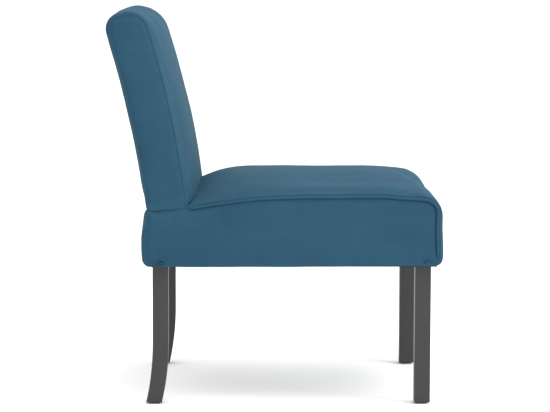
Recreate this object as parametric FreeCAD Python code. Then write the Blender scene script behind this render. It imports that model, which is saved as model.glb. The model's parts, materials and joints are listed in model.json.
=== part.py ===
import FreeCAD, Part
import math
import os

# Slipper chair: a deep armless seat on four legs, with a leaning upholstered back.
# Millimetres. +Z is up, the floor is Z = 0, the sitter faces -Y, and the sitter's left is +X.

os.makedirs("parts", exist_ok=True)
Vector = FreeCAD.Vector

# Soft covering, from the outside in
cover_thickness = 1.2
wadding_thickness = 2.8
frame_clearance = 0.3
side_x = 259.0                  # the flat side faces of the seat and the back
side_edge_radius = 9.0          # rounding where the side panels turn into the bands
edge_steps = 4                  # outlines that shape each rounded side edge
crown_stations = 4              # outlines from the middle to each side edge
seam_inset = 7.5                # the side seams lie this far inside the outline

# Seat block, outside the cover
seat_front_y = -327.0
seat_rear_y = 258.75
seat_bottom_z = 274.5
seat_edge_z = 414.0             # the seat's top beside its side seams
seat_crown = 26.5               # how much higher the middle stands
crown_fullness = 2.4            # exponent: more is flatter in the middle, steeper at the sides
seat_bottom_radius = 14.0
seat_front_lean = 5.5           # the front face draws back by this at its top
seat_front_bend_z = 322.0
seat_front_bend_radius = 500.0
seat_front_radius_middle = 98.0
seat_front_radius_side = 36.0
seat_front_fall_length = 122.0  # the top begins to fall towards the front here
seat_front_fall_radius = 600.0
seat_front_drop_middle = 13.5
seat_front_drop_side = 7.0
seat_fall_y_middle = 136.0      # where the top begins to fall towards the back
seat_fall_y_side = 92.0
seat_fall_share = 0.85          # share of the fall that is rounded
ledge_front_y = 183.0           # the ledge under the back
ledge_front_z = 394.0
ledge_front_radius = 14.0
ledge_rear_inset = 9.0
ledge_rear_z = 382.0
ledge_rear_radius = 10.5
seat_rear_bend_z = 345.0
seat_rear_bend_radius = 190.0

# Back, outside the cover
back_low_lean = 8.2             # degrees, at the seat
back_high_lean = 16.9           # degrees, at the top
back_foot_y = 249.6             # rear face just above the seat
back_foot_z = 378.0
back_bend_length = 188.5        # from the foot to the bend, along the rear face
back_top_length = 199.0         # from the bend to the top, along the rear face
back_sweep_radius = 2150.0      # the long sweep of the rear face
back_front_sweep_radius = 1850.0
back_seam_depth = 77.0          # rear face to the front seam
back_crown_low = 23.0           # how much further the front stands out in the middle
back_crown_high = 17.0
back_rear_bulge = 4.0
back_top_rise = 4.0
back_foot_radius = 12.0
back_top_rear_radius = 24.0
back_top_front_radius_middle = 74.0
back_top_front_radius_side = 42.0
back_seat_gap = 0.8

# Piping along the side seams of the seat
piping_radius = 2.6
piping_sink = 1.6               # its centre line lies this far inside the side face
piping_end_y = 168.0

# Seat frame
rail_thickness = 18.0
rear_rail_thickness = 15.0
rail_top_z = 360.0
cross_rail_front_y = 128.0
cross_rail_height = 56.0
rail_end_ease = 1.0             # the rails' rounded edges are this much larger than their room needs
dowel_radius = 4.0
dowel_length = 36.0
dowel_cover = 4.0               # wood left outside each dowel's end
dowel_heights = (302.0, 338.0)
deck_thickness = 12.0
slot_clearance = 1.5
board_gap = 0.2                 # between pieces that lie loosely side by side

# Legs
leg_section = 31.0
leg_top_z = 340.0
leg_edge_radius = 1.5
leg_sweep_start_z = 120.0
leg_sweep_radius = 515.0
glide_height = 3.4
glide_radius = 12.0
glide_edge = 1.2
glide_nail_radius = 1.2
glide_nail_length = 15.0

# M8 bolts, washers and tee nuts
bolt_radius = 4.0
bolt_head_radius = 7.5
bolt_head_height = 4.5
bolt_socket_radius = 2.9
bolt_socket_depth = 2.8
bolt_end_gap = 5.6              # from a bolt's tip to the rail's outer face
washer_radius = 9.0
washer_thickness = 1.6
tee_flange_radius = 9.5
tee_flange_thickness = 1.5
tee_barrel_radius = 4.9
tee_barrel_length = 11.0
leg_bolt_heights = (297.0, 326.0)

# Wood screws
screw_radius = 2.0
screw_head_radius = 4.0
screw_head_height = 2.4
screw_tip = 4.0
deck_screw_length = 32.0
deck_screw_inset = 22.0

# Zigzag seat springs
spring_count = 5
spring_spacing = 80.0
spring_wire_radius = 1.7
spring_bend_radius = 9.0
spring_half_width = 25.0
spring_rail_overlap = 5.0
clip_thickness = 1.0
clip_width = 20.0
clip_length = 8.5
clip_nail_radius = 1.0
clip_nail_length = 16.0
felt_thickness = 3.0
felt_half_width = 200.0
felt_front_inset = 5.0
foam_margin = 1.0               # room between the felt or the clips and the foam

# Back frame
back_panel_thickness = 3.0
back_panel_side_gap = 4.0       # from the stiles' outer faces to the panel's sides
back_panel_nail_pairs = 8
back_rail_height = 60.0
back_rail_top_gap = 26.0
back_rail_foot_gap = 26.0       # from the foot of the back up to its bottom rail
back_foam_pocket = 40.0         # how far the hollow of the foam runs on behind the frame
back_foam_reach = 60.0          # and below the straps
batten_thickness = 22.0
batten_width = 40.0
batten_length = 225.0
batten_foot_z = 284.0
batten_leg_gap = 1.0
batten_bolt_steps = (16.0, 58.0)
batten_screw_steps = (125.0, 165.0, 205.0)
batten_screw_length = 34.0
strap_count = 4
strap_spacing = 104.0
strap_width = 50.0
strap_thickness = 1.6
strap_end_inset = 8.0           # from a strap's end to the edge of its rail
nail_radius = 0.8
nail_length = 14.0
nail_head_radius = 2.0
nail_head_thickness = 0.6

# Underside
dust_cover_thickness = 0.6
dust_cover_lap = 11.0           # how far it reaches under the rails
leg_hole_clearance = 0.5
staple_crown = 12.0
staple_wire = 0.8
staple_depth = 7.0
staple_pitch = 48.0

# Places that follow from the sizes above
covering = cover_thickness + wadding_thickness
frame_inset = covering + frame_clearance
rail_outer_x = side_x - frame_inset
rail_inner_x = rail_outer_x - rail_thickness
front_rail_outer_y = seat_front_y + frame_inset
front_rail_inner_y = front_rail_outer_y + rail_thickness
rear_rail_outer_y = seat_rear_y - frame_inset
rear_rail_inner_y = rear_rail_outer_y - rear_rail_thickness
rail_bottom_z = seat_bottom_z + frame_inset
rail_middle_x = rail_outer_x - rail_thickness / 2
cross_rail_rear_y = cross_rail_front_y + rail_thickness
cross_rail_middle_y = cross_rail_front_y + rail_thickness / 2
deck_front_y = cross_rail_rear_y + board_gap
deck_top_z = rail_top_z + deck_thickness
leg_inner_x = rail_inner_x - leg_section
front_leg_y = front_rail_inner_y
rear_leg_y = rear_rail_inner_y - leg_section
spring_z = rail_top_z + clip_thickness + spring_wire_radius
felt_bottom_z = spring_z + spring_wire_radius + clip_thickness + board_gap
felt_top_z = felt_bottom_z + felt_thickness
spring_front_y = front_rail_inner_y - spring_rail_overlap
spring_rear_y = cross_rail_front_y + spring_rail_overlap
sides = {"right": -1, "left": 1}


# Outlines in the YZ plane, as corners (y, z, radius) that run anticlockwise seen from +X

def blend(middle, side, share):
    return middle + (side - middle) * share


def unit(y, z):
    length = math.hypot(y, z)
    return y / length, z / length


def turn_between(first, second):
    cross = first[0] * second[1] - first[1] * second[0]
    dot = first[0] * second[0] + first[1] * second[1]
    return math.atan2(cross, dot)


def direction(start, end):
    return unit(end[0] - start[0], end[1] - start[1])


# Moves every side of a closed outline inwards; an arc keeps its centre.
def inset_corners(corners, inset):
    moved = []
    for i, (y, z, radius) in enumerate(corners):
        before = direction(corners[i - 1], corners[i])
        after = direction(corners[i], corners[(i + 1) % len(corners)])
        turn = turn_between(before, after)
        normal_sum = (-before[1] - after[1], before[0] + after[0])
        scale = inset / (1 + math.cos(turn))
        new_radius = radius - inset if turn > 0 else radius + inset
        moved.append((y + normal_sum[0] * scale, z + normal_sum[1] * scale, new_radius))
    return moved


# The lines and arcs of an outline at one X, closed or open.
def outline_edges(corners, x, closed=True):
    edges = []
    starts = []
    ends = []
    for i, (y, z, radius) in enumerate(corners):
        if radius == 0 or (not closed and i in (0, len(corners) - 1)):
            starts.append(Vector(x, y, z))
            ends.append(Vector(x, y, z))
            continue
        before = direction(corners[i - 1], corners[i])
        after = direction(corners[i], corners[(i + 1) % len(corners)])
        half_turn = abs(turn_between(before, after)) / 2
        reach = radius * math.tan(half_turn)
        inwards = unit(after[0] - before[0], after[1] - before[1])
        sag = radius / math.cos(half_turn) - radius
        start = Vector(x, y - before[0] * reach, z - before[1] * reach)
        end = Vector(x, y + after[0] * reach, z + after[1] * reach)
        middle = Vector(x, y + inwards[0] * sag, z + inwards[1] * sag)
        edges.append((i, Part.Arc(start, middle, end).toShape()))
        starts.append(start)
        ends.append(end)
    last = len(corners) if closed else len(corners) - 1
    for i in range(last):
        line = Part.LineSegment(ends[i], starts[(i + 1) % len(corners)]).toShape()
        edges.append((i + 0.5, line))
    edges.sort(key=lambda item: item[0])
    return [edge for order, edge in edges]


def outline_wire(corners, x):
    return Part.Wire(outline_edges(corners, x))


def outline_prism(corners, x_start, x_end):
    face = Part.Face(outline_wire(corners, x_start))
    return face.extrude(Vector(x_end - x_start, 0, 0))


def plain_prism(points, x_start, x_end):
    ring = [Vector(x_start, y, z) for y, z in points]
    face = Part.Face(Part.makePolygon(ring + ring[:1]))
    return face.extrude(Vector(x_end - x_start, 0, 0))


def box(x_start, x_end, y_start, y_end, z_start, z_end):
    corner = Vector(min(x_start, x_end), min(y_start, y_end), min(z_start, z_end))
    return Part.makeBox(abs(x_end - x_start), abs(y_end - y_start), abs(z_end - z_start), corner)


def crown_share(side_share):
    return 1 - side_share ** crown_fullness


# A smooth block through outlines across the width, closed by two rounded side edges.
def crowned_block(corners_at, inset):
    edge_radius = side_edge_radius - inset
    flat_half = side_x - side_edge_radius
    outlines = []
    for i in range(-crown_stations, crown_stations + 1):
        share = i / crown_stations
        corners = inset_corners(corners_at(abs(share)), inset)
        outlines.append(outline_wire(corners, share * flat_half))
    block = Part.makeLoft(outlines, True, False)
    for side in sides.values():
        rims = []
        for step in range(edge_steps + 1):
            angle = math.radians(90 * step / edge_steps)
            corners = inset_corners(corners_at(1.0), inset + edge_radius * (1 - math.cos(angle)))
            rims.append(outline_wire(corners, side * (flat_half + edge_radius * math.sin(angle))))
        block = block.fuse(Part.makeLoft(rims, True, False))
    return block


# Seat block

def seat_corners(side_share):
    top_z = seat_edge_z + seat_crown * crown_share(side_share)
    fall_y = blend(seat_fall_y_middle, seat_fall_y_side, side_share)
    fall_run = math.hypot(ledge_front_y - fall_y, top_z - ledge_front_z)
    fall_turn = math.atan2(top_z - ledge_front_z, ledge_front_y - fall_y)
    fall_radius = seat_fall_share * fall_run / math.tan(fall_turn / 2)
    front_radius = blend(seat_front_radius_middle, seat_front_radius_side, side_share)
    front_drop = blend(seat_front_drop_middle, seat_front_drop_side, side_share)
    return [
        (seat_front_y, seat_bottom_z, seat_bottom_radius),
        (seat_rear_y, seat_bottom_z, seat_bottom_radius),
        (seat_rear_y, seat_rear_bend_z, seat_rear_bend_radius),
        (seat_rear_y - ledge_rear_inset, ledge_rear_z, ledge_rear_radius),
        (ledge_front_y, ledge_front_z, ledge_front_radius),
        (fall_y, top_z, fall_radius),
        (seat_front_y + seat_front_fall_length, top_z, seat_front_fall_radius),
        (seat_front_y + seat_front_lean, top_z - front_drop, front_radius),
        (seat_front_y, seat_front_bend_z, seat_front_bend_radius),
    ]


seat_blocks = {}


def seat_block(inset):
    if inset not in seat_blocks:
        seat_blocks[inset] = crowned_block(seat_corners, inset)
    return seat_blocks[inset]


# The side seams of the seat, carried on below it, so that a side panel keeps its hem.
def seat_seam_corners():
    corners = inset_corners(seat_corners(1.0), seam_inset)
    drop = seam_inset + covering + seat_bottom_radius
    bottom = [(y, z - drop, radius) for y, z, radius in corners[:2]]
    return bottom + corners[2:]


# Back block

def lean_vector(lean):
    return math.sin(math.radians(lean)), math.cos(math.radians(lean))


# A line in front of the rear face of the back, at one depth low down and one high up:
# its foot, bend and top.
def back_line(low_depth, high_depth, top_rise=0.0):
    low = lean_vector(back_low_lean)
    high = lean_vector(back_high_lean)
    foot = (back_foot_y - low[1] * low_depth, back_foot_z + low[0] * low_depth)
    bend_y = back_foot_y + low[0] * back_bend_length
    bend_z = back_foot_z + low[1] * back_bend_length
    share = (low_depth + high_depth) / 2 / (1 + low[0] * high[0] + low[1] * high[1])
    bend = (bend_y - (low[1] + high[1]) * share, bend_z + (low[0] + high[0]) * share)
    top_y = bend_y + high[0] * (back_top_length + top_rise) - high[1] * high_depth
    top_z = bend_z + high[1] * (back_top_length + top_rise) + high[0] * high_depth
    return foot, bend, (top_y, top_z)


def back_outline(low_depth, high_depth, rear_bulge, top_rise, front_radius):
    front = back_line(low_depth, high_depth, top_rise)
    rear = back_line(-rear_bulge, -rear_bulge, top_rise)
    return [
        (front[0][0], front[0][1], back_foot_radius),
        (rear[0][0], rear[0][1], back_foot_radius),
        (rear[1][0], rear[1][1], back_sweep_radius - rear_bulge),
        (rear[2][0], rear[2][1], back_top_rear_radius),
        (front[2][0], front[2][1], front_radius),
        (front[1][0], front[1][1], back_front_sweep_radius),
    ]


def back_corners(side_share):
    crown = crown_share(side_share)
    front_radius = blend(back_top_front_radius_middle, back_top_front_radius_side, side_share)
    side_depth = back_seam_depth + seam_inset
    return back_outline(side_depth + back_crown_low * crown, side_depth + back_crown_high * crown,
                        back_rear_bulge * crown, back_top_rise * crown, front_radius)


back_blocks = {}


def back_block(inset):
    if inset not in back_blocks:
        block = crowned_block(back_corners, inset)
        back_blocks[inset] = block.cut(seat_block(-inset - back_seat_gap))
    return back_blocks[inset]


# A box in the leaning frame of the back: along its height and forwards from its rear face.
def leaning_box(base, lean, x_start, x_end, low, high, rear, front):
    up = lean_vector(lean)
    points = []
    for along, forward in ((low, rear), (low, front), (high, front), (high, rear)):
        points.append((base[0] + up[0] * along - up[1] * forward,
                       base[1] + up[1] * along + up[0] * forward))
    return plain_prism(points, x_start, x_end)


# Legs and glides

def leg_bolt_y(front):
    start = front_leg_y if front else rear_leg_y
    return start + leg_section / 2


def sweep_shift(z):
    drop = leg_sweep_start_z - z
    return drop * drop / (2 * leg_sweep_radius)


def leg_span(side):
    return sorted((side * rail_inner_x, side * leg_inner_x))


def front_leg(side):
    x_start, x_end = leg_span(side)
    leg = box(x_start, x_end, front_leg_y, front_leg_y + leg_section, glide_height, leg_top_z)
    edges = [edge for edge in leg.Edges if abs(edge.tangentAt(edge.FirstParameter).z) > 0.9]
    return leg.makeFillet(leg_edge_radius, edges)


def rear_leg(side):
    x_start, x_end = leg_span(side)
    foot_z = glide_height
    middle_z = (leg_sweep_start_z + foot_z) / 2

    def face_point(y, z):
        return Vector(x_start, y + sweep_shift(z), z)

    def long_edges(y):
        top = Vector(x_start, y, leg_top_z)
        knee = Vector(x_start, y, leg_sweep_start_z)
        straight = Part.LineSegment(top, knee).toShape()
        swept = Part.Arc(knee, face_point(y, middle_z), face_point(y, foot_z)).toShape()
        return straight, swept

    front_y = rear_leg_y
    rear_y = rear_leg_y + leg_section
    front_line, front_arc = long_edges(front_y)
    rear_line, rear_arc = long_edges(rear_y)
    top = Part.LineSegment(Vector(x_start, rear_y, leg_top_z),
                           Vector(x_start, front_y, leg_top_z)).toShape()
    foot = Part.LineSegment(face_point(front_y, foot_z), face_point(rear_y, foot_z)).toShape()
    outline = Part.Wire(Part.__sortEdges__([top, front_line, front_arc, foot, rear_arc, rear_line]))
    leg = Part.Face(outline).extrude(Vector(x_end - x_start, 0, 0))
    long_sides = [edge for edge in leg.Edges
                  if edge.BoundBox.XLength < 0.01 and edge.BoundBox.ZLength > leg_section]
    return leg.makeFillet(leg_edge_radius, long_sides)


def foot_centre(side, front):
    x = side * (rail_inner_x - leg_section / 2)
    y = leg_bolt_y(front)
    if not front:
        y += sweep_shift(glide_height)
    return x, y


def glide(side, front):
    x, y = foot_centre(side, front)
    dome_start = Vector(glide_radius, 0, glide_edge)
    dome_end = Vector(glide_radius - glide_edge, 0, 0)
    shoulder = glide_edge * (1 - math.sqrt(0.5))
    dome_middle = Vector(glide_radius - shoulder, 0, shoulder)
    axis_low = Vector(0, 0, 0)
    axis_high = Vector(0, 0, glide_height)
    rim = Vector(glide_radius, 0, glide_height)
    edges = [Part.LineSegment(axis_low, dome_end).toShape(),
             Part.Arc(dome_end, dome_middle, dome_start).toShape(),
             Part.LineSegment(dome_start, rim).toShape(),
             Part.LineSegment(rim, axis_high).toShape(),
             Part.LineSegment(axis_high, axis_low).toShape()]
    disc = Part.Face(Part.Wire(edges)).revolve(Vector(0, 0, 0), Vector(0, 0, 1), 360)
    disc.translate(Vector(x, y, 0))
    return disc


def glide_nails():
    nails = []
    for side in sides.values():
        for front in (True, False):
            x, y = foot_centre(side, front)
            start = Vector(x, y, glide_height / 2)
            nails.append(Part.makeCylinder(glide_nail_radius, glide_nail_length, start))
    return nails


# Turned fasteners, each built on an axis that starts at a point and runs along a direction

def bolt(start, along, length):
    head = Part.makeCylinder(bolt_head_radius, bolt_head_height,
                             start - along * bolt_head_height, along)
    socket = Part.makeCylinder(bolt_socket_radius, bolt_socket_depth,
                               start - along * bolt_head_height, along)
    shank = Part.makeCylinder(bolt_radius, length, start, along)
    return head.cut(socket).fuse(shank).removeSplitter()


def washer(start, along):
    disc = Part.makeCylinder(washer_radius, washer_thickness, start, along)
    return disc.cut(Part.makeCylinder(bolt_radius, washer_thickness, start, along))


def tee_nut(flange_face, outwards):
    flange = Part.makeCylinder(tee_flange_radius, tee_flange_thickness,
                               flange_face - outwards * tee_flange_thickness, outwards)
    barrel = Part.makeCylinder(tee_barrel_radius, tee_barrel_length,
                               flange_face - outwards * tee_barrel_length, outwards)
    hole = Part.makeCylinder(bolt_radius, tee_barrel_length,
                             flange_face - outwards * tee_barrel_length, outwards)
    return flange.fuse(barrel).cut(hole).removeSplitter()


def wood_screw(head_face, along, length):
    head = Part.makeCone(screw_head_radius, screw_radius, screw_head_height, head_face, along)
    shank_length = length - screw_head_height - screw_tip
    shank_start = head_face + along * screw_head_height
    shank = Part.makeCylinder(screw_radius, shank_length, shank_start, along)
    tip = Part.makeCone(screw_radius, 0, screw_tip, shank_start + along * shank_length, along)
    return head.fuse(shank).fuse(tip).removeSplitter()


def flat_nail(head_face, along):
    head = Part.makeCylinder(nail_head_radius, nail_head_thickness, head_face, along)
    shank = Part.makeCylinder(nail_radius, nail_length, head_face, along)
    return head.fuse(shank).removeSplitter()


# Where each M8 bolt goes: side, y, z and the inner face that its washer lies on.
def bolt_places():
    places = []
    for side in sides.values():
        for front in (True, False):
            for z in leg_bolt_heights:
                places.append((side, leg_bolt_y(front), z, leg_inner_x))
        for step in batten_bolt_steps:
            y, z = batten_point(step)
            places.append((side, y, z, rail_inner_x - batten_thickness))
    return places


def frame_bolts():
    bolts = []
    for side, y, z, face_x in bolt_places():
        start_x = face_x - washer_thickness
        length = rail_outer_x - bolt_end_gap - start_x
        bolts.append(bolt(Vector(side * start_x, y, z), Vector(side, 0, 0), length))
    return bolts


# The drilled holes that the bolts run through, from washer to tee nut.
def bolt_holes():
    return [Part.makeCylinder(bolt_radius, rail_outer_x - face_x, Vector(side * face_x, y, z),
                              Vector(side, 0, 0))
            for side, y, z, face_x in bolt_places()]


def bolt_washers():
    return [washer(Vector(side * (face_x - washer_thickness), y, z), Vector(side, 0, 0))
            for side, y, z, face_x in bolt_places()]


def tee_nuts():
    return [tee_nut(Vector(side * rail_outer_x, y, z), Vector(side, 0, 0))
            for side, y, z, face_x in bolt_places()]


# Mounting battens of the back: they lean with its foot and pass in front of the rear legs.

def batten_base():
    up = lean_vector(back_low_lean)
    rise = leg_top_z - batten_foot_z
    rear_at_foot = rear_leg_y - batten_leg_gap - rise * up[0] / up[1]
    return rear_at_foot, batten_foot_z


def batten_point(step):
    base = batten_base()
    up = lean_vector(back_low_lean)
    half = batten_width / 2
    return base[0] + up[0] * step - up[1] * half, base[1] + up[1] * step + up[0] * half


def batten_shape(side, clearance):
    x_ends = (side * (rail_inner_x + clearance), side * (rail_inner_x - batten_thickness - clearance))
    return leaning_box(batten_base(), back_low_lean, min(x_ends), max(x_ends),
                       -clearance, batten_length + clearance,
                       -clearance, batten_width + clearance)


def batten_screws():
    screws = []
    for side in sides.values():
        for step in batten_screw_steps:
            y, z = batten_point(step)
            head = Vector(side * (rail_inner_x - batten_thickness), y, z)
            screws.append(wood_screw(head, Vector(side, 0, 0), batten_screw_length))
    return screws


def both_battens(clearance):
    return Part.makeCompound([batten_shape(side, clearance) for side in sides.values()])


# Seat frame

# Rounds the lower outer edge of a rail, where the covering turns under it.
def ease_lower_edge(rail, outside, radius):
    edges = []
    for edge in rail.Edges:
        middle = edge.BoundBox.Center
        if edge.Length > rail_top_z and middle.z < rail_bottom_z + 0.01 and outside(middle):
            edges.append(edge)
    return rail.makeFillet(radius, edges)


def side_rail(side):
    x_ends = (side * rail_inner_x, side * rail_outer_x)
    rail = box(x_ends[0], x_ends[1], front_rail_inner_y, rear_rail_inner_y,
               rail_bottom_z, rail_top_z)
    return ease_lower_edge(rail, lambda point: point.x * side > rail_middle_x, side_edge_radius)


# The room inside the covering of the seat, across the whole width.
def frame_room():
    return outline_prism(inset_corners(seat_corners(1.0), frame_inset), -rail_outer_x, rail_outer_x)


# A front or rear rail: it follows the covering, and its upright ends are rounded as that is.
def cross_end_rail(y_start, y_end, outwards):
    rail = box(-rail_outer_x, rail_outer_x, y_start, y_end, rail_bottom_z, rail_top_z)
    middle_y = (y_start + y_end) / 2
    uprights = [edge for edge in rail.Edges
                if edge.BoundBox.ZLength > rear_rail_thickness
                and (edge.BoundBox.Center.y - middle_y) * outwards > 0]
    rail = rail.makeFillet(side_edge_radius - frame_inset + rail_end_ease, uprights)
    return rail.common(frame_room())


def front_rail():
    return cross_end_rail(front_rail_outer_y, front_rail_inner_y, -1)


def rear_rail():
    return cross_end_rail(rear_rail_inner_y, rear_rail_outer_y, 1)


def cross_rail():
    return box(-rail_inner_x, rail_inner_x, cross_rail_front_y, cross_rail_rear_y,
               rail_top_z - cross_rail_height, rail_top_z)


def deck_board():
    half_width = rail_outer_x - side_edge_radius
    board = box(-half_width, half_width, deck_front_y, rear_rail_outer_y, rail_top_z, deck_top_z)
    return board.common(frame_room())


def deck_screws():
    places = []
    for side in sides.values():
        places.append((side * rail_middle_x, deck_front_y + deck_screw_inset / 2))
        places.append((side * rail_middle_x, rear_rail_inner_y - deck_screw_inset))
        places.append((side * rail_inner_x / 2, rear_rail_inner_y + screw_head_radius))
    return [wood_screw(Vector(x, y, deck_top_z), Vector(0, 0, -1), deck_screw_length)
            for x, y in places]


def wood_dowel(start, along):
    return Part.makeCylinder(dowel_radius, dowel_length, start, along)


def frame_dowels():
    dowels = []
    for side in sides.values():
        for z in dowel_heights:
            x = side * rail_middle_x
            dowels.append(wood_dowel(Vector(x, front_rail_outer_y + dowel_cover, z), Vector(0, 1, 0)))
            dowels.append(wood_dowel(Vector(x, rear_rail_outer_y - dowel_cover, z), Vector(0, -1, 0)))
            outer = Vector(side * (rail_outer_x - dowel_cover), cross_rail_middle_y, z + dowel_radius)
            dowels.append(wood_dowel(outer, Vector(-side, 0, 0)))
        for base, lean, low, rear in back_rail_places():
            for step in (back_rail_height / 4, back_rail_height * 3 / 4):
                up = lean_vector(lean)
                forward = rear + rail_thickness / 2
                y = base[0] + up[0] * (low + step) - up[1] * forward
                z = base[1] + up[1] * (low + step) + up[0] * forward
                outer = Vector(side * (rail_outer_x - dowel_cover), y, z)
                dowels.append(wood_dowel(outer, Vector(-side, 0, 0)))
    return dowels


# Seat springs, clips and felt

def spring_positions():
    first = -(spring_count - 1) / 2 * spring_spacing
    return [first + i * spring_spacing for i in range(spring_count)]


def zigzag_spring(x):
    run = spring_rear_y - spring_front_y
    turns = int(run // (2 * spring_bend_radius))
    pitch = run / turns
    radius = pitch / 2
    reach = spring_half_width - spring_wire_radius - radius
    edges = []
    y = spring_front_y
    heading = 1
    start = Vector(x - spring_half_width / 2, y, spring_z)
    for i in range(turns):
        end = Vector(x + heading * reach, y, spring_z)
        edges.append(Part.LineSegment(start, end).toShape())
        tip = Vector(x + heading * (reach + radius), y + radius, spring_z)
        start = Vector(x + heading * reach, y + pitch, spring_z)
        edges.append(Part.Arc(end, tip, start).toShape())
        y += pitch
        heading = -heading
    tail = Vector(x + heading * spring_half_width / 2, y, spring_z)
    edges.append(Part.LineSegment(start, tail).toShape())
    path = Part.Wire(edges)
    section = Part.Wire(Part.makeCircle(spring_wire_radius, path.Edges[0].Vertexes[0].Point,
                                        Vector(1, 0, 0)))
    return path.makePipeShell([section], True, False)


# A clip is a strip folded over the end bar of a spring and nailed through its foot.
def spring_clip(x, y, heading):
    inside_height = 2 * spring_wire_radius
    wrap = 2 * spring_wire_radius
    foot_y = y + heading * clip_length
    outside = box(x - clip_width / 2, x + clip_width / 2, y - heading * wrap, foot_y,
                  rail_top_z, rail_top_z + clip_thickness)
    back_y = y - heading * (spring_wire_radius + clip_thickness)
    upright = box(x - clip_width / 2, x + clip_width / 2, back_y, back_y + heading * clip_thickness,
                  rail_top_z, rail_top_z + 2 * clip_thickness + inside_height)
    lip = box(x - clip_width / 2, x + clip_width / 2, back_y, y + heading * wrap,
              rail_top_z + clip_thickness + inside_height,
              rail_top_z + 2 * clip_thickness + inside_height)
    return outside.fuse(upright).fuse(lip).removeSplitter()


def clip_places():
    places = []
    for x in spring_positions():
        places.append((x, spring_front_y, -1))
        places.append((x, spring_rear_y, 1))
    return places


def clip_nail(x, y, heading):
    nail_y = y + heading * (clip_length - clip_thickness - nail_head_radius)
    top = rail_top_z + clip_thickness + nail_head_thickness
    head = Part.makeCylinder(nail_head_radius, nail_head_thickness,
                             Vector(x, nail_y, top - nail_head_thickness))
    shank = Part.makeCylinder(clip_nail_radius, clip_nail_length,
                              Vector(x, nail_y, top - clip_nail_length))
    return head.fuse(shank).removeSplitter()


def felt_pad():
    return box(-felt_half_width, felt_half_width, front_rail_outer_y + felt_front_inset,
               cross_rail_rear_y - foam_margin, felt_bottom_z, felt_top_z)


# Soft parts of the seat

def seat_foam():
    foam = seat_block(covering)
    below = box(-side_x, side_x, seat_front_y, deck_front_y, 0, rail_top_z)
    under_deck = box(-side_x, side_x, deck_front_y, seat_rear_y, 0, deck_top_z)
    pocket = box(-felt_half_width - foam_margin, felt_half_width + foam_margin,
                 front_rail_outer_y, cross_rail_rear_y, rail_top_z - foam_margin, felt_top_z)
    foam = foam.cut(below).cut(under_deck).cut(pocket)
    return foam.cut(both_battens(slot_clearance))


# The space inside the seat rails, where neither the hems nor the wadding reach.
def inside_rails():
    return box(-rail_inner_x, rail_inner_x, front_rail_inner_y, rear_rail_inner_y,
               seat_bottom_z - 1, rail_bottom_z)


def seat_shell(outer_inset, inner_inset):
    shell = seat_block(outer_inset).cut(seat_block(inner_inset))
    shell = shell.cut(inside_rails())
    return shell.cut(both_battens(slot_clearance))


def seat_piping(side):
    corners = inset_corners(seat_corners(1.0), seam_inset)
    front_low = corners[0]
    fall = corners[5]
    ledge = corners[4]
    start_share = (piping_end_y - fall[0]) / (ledge[0] - fall[0])
    start = (piping_end_y, fall[1] + (ledge[1] - fall[1]) * start_share, 0)
    end = (front_low[0], seat_bottom_z + seat_bottom_radius, 0)
    x = side * (side_x - piping_sink)
    path = Part.Wire(outline_edges([start] + corners[5:] + [end], x, False))
    first = path.Edges[0]
    section = Part.Wire(Part.makeCircle(piping_radius, first.Vertexes[0].Point,
                                        first.tangentAt(first.FirstParameter)))
    return path.makePipeShell([section], True, False)


def seat_covers(piping):
    shell = seat_shell(0.0, cover_thickness).cut(piping)
    seams = seat_seam_corners()
    covers = {}
    for name, side in sides.items():
        prism = outline_prism(seams, side * rail_inner_x, side * (side_x + 1))
        covers[name] = shell.common(prism)
        shell = shell.cut(prism)
    rear_zone = box(-side_x - 1, side_x + 1, rear_rail_inner_y - 1, seat_rear_y + 1,
                    seat_bottom_z - 1, ledge_front_z)
    covers["rear"] = shell.common(rear_zone)
    covers["top"] = shell.cut(rear_zone)
    return covers


# Back frame

# Rails of the back frame: base point, lean, height above it, distance of the rear side.
def back_rail_places():
    foot, bend, top = back_line(0.0, 0.0)
    front_rear = back_seam_depth - frame_inset - rail_thickness
    rear_rear = frame_inset + back_panel_thickness
    top_low = -frame_inset - back_rail_top_gap - back_rail_height
    middle_lean = (back_low_lean + back_high_lean) / 2
    sweep_turn = math.radians(back_high_lean - back_low_lean) / 2
    sweep_sag = back_sweep_radius * (1 / math.cos(sweep_turn) - 1)
    return [
        (top, back_high_lean, top_low, front_rear),
        (foot, back_low_lean, back_rail_foot_gap, front_rear),
        (bend, middle_lean, -back_rail_height / 2, rear_rear - sweep_sag),
    ]


def back_rail(index):
    base, lean, low, rear = back_rail_places()[index]
    return leaning_box(base, lean, -rail_inner_x, rail_inner_x,
                       low, low + back_rail_height, rear, rear + rail_thickness)


def back_stile(side):
    corners = back_outline(back_seam_depth, back_seam_depth, -back_panel_thickness, 0.0,
                           back_top_front_radius_side)
    corners = inset_corners(corners, frame_inset)
    x_ends = sorted((side * rail_inner_x, side * rail_outer_x))
    board = outline_prism(corners, x_ends[0], x_ends[1])
    return board.cut(seat_block(-frame_inset - back_seat_gap))


# A thin sheet that follows the rear face of the back, between two distances from it.
def back_sheet(rear, front, low_end, high_end, half_width):
    low = lean_vector(back_low_lean)
    high = lean_vector(back_high_lean)
    outer = back_line(rear, rear)
    inner = back_line(front, front)

    def ends(line):
        foot, bend, top = line
        return ((foot[0] + low[0] * low_end, foot[1] + low[1] * low_end), bend,
                (top[0] - high[0] * high_end, top[1] - high[1] * high_end))

    outer = ends(outer)
    inner = ends(inner)
    corners = [
        (inner[0][0], inner[0][1], 0.0), (outer[0][0], outer[0][1], 0.0),
        (outer[1][0], outer[1][1], back_sweep_radius + rear),
        (outer[2][0], outer[2][1], 0.0), (inner[2][0], inner[2][1], 0.0),
        (inner[1][0], inner[1][1], back_sweep_radius + front),
    ]
    return outline_prism(corners, -half_width, half_width)


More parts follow.
